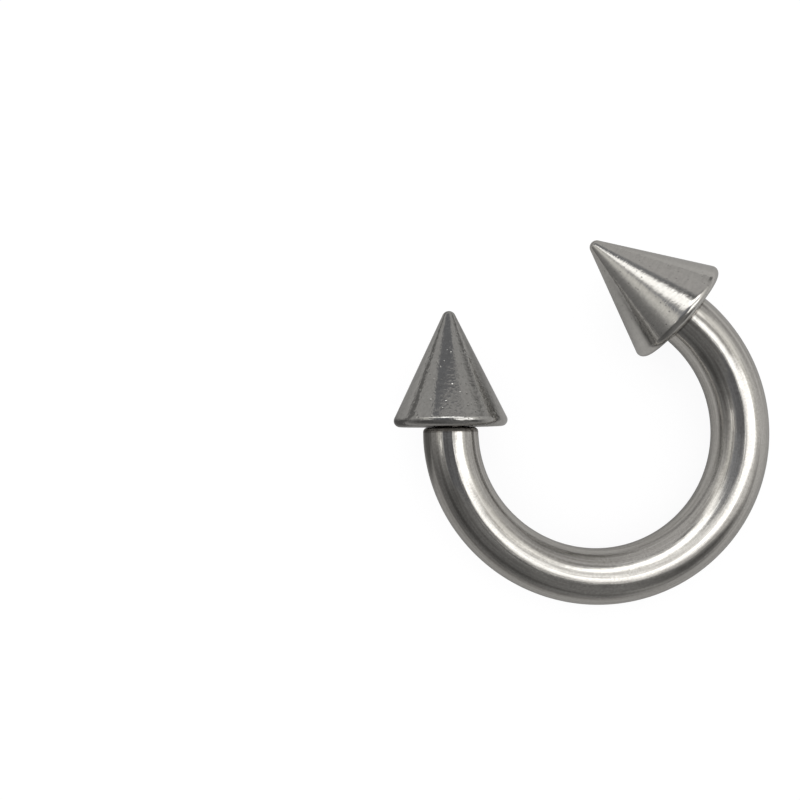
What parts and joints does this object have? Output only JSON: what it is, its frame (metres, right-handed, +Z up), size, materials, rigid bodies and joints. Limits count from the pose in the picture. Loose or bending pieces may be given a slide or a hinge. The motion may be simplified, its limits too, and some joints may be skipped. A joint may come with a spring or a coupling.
{
  "type": "horseshoe barbell",
  "caption": "Horseshoe barbell: an open ring of round polished steel bar with a screw-on spike on each end, lying on its side.",
  "frame": {"origin": "centre of the bounding box's base, on the surface that the barbell lies on", "axes": "+X along the bar at the middle of its bend, +Y from the bend towards the gap between the spikes, +Z up from the surface it lies on"},
  "size_m": [0.0258, 0.0248, 0.0081],
  "materials": {
    "bar_steel": "polished surgical steel with fine polishing lines along the bend",
    "spike_steel": "tumble-polished surgical steel with slight orange peel and fine pits"
  },
  "bodies": {
    "bar": {"bar": "bar_steel"},
    "spike_left": {"spike_left": "spike_steel"},
    "spike_right": {"spike_right": "spike_steel"}
  },
  "joints": [
    {"name": "spike_left_unscrew", "type": "slide", "parent": "bar", "child": "spike_left", "axis": [0.4226, 0.8984, 0.1197], "range_m": [0, 0.005]},
    {"name": "spike_right_unscrew", "type": "slide", "parent": "bar", "child": "spike_right", "axis": [-0.4226, 0.8984, 0.1197], "range_m": [0, 0.005]}
  ]
}
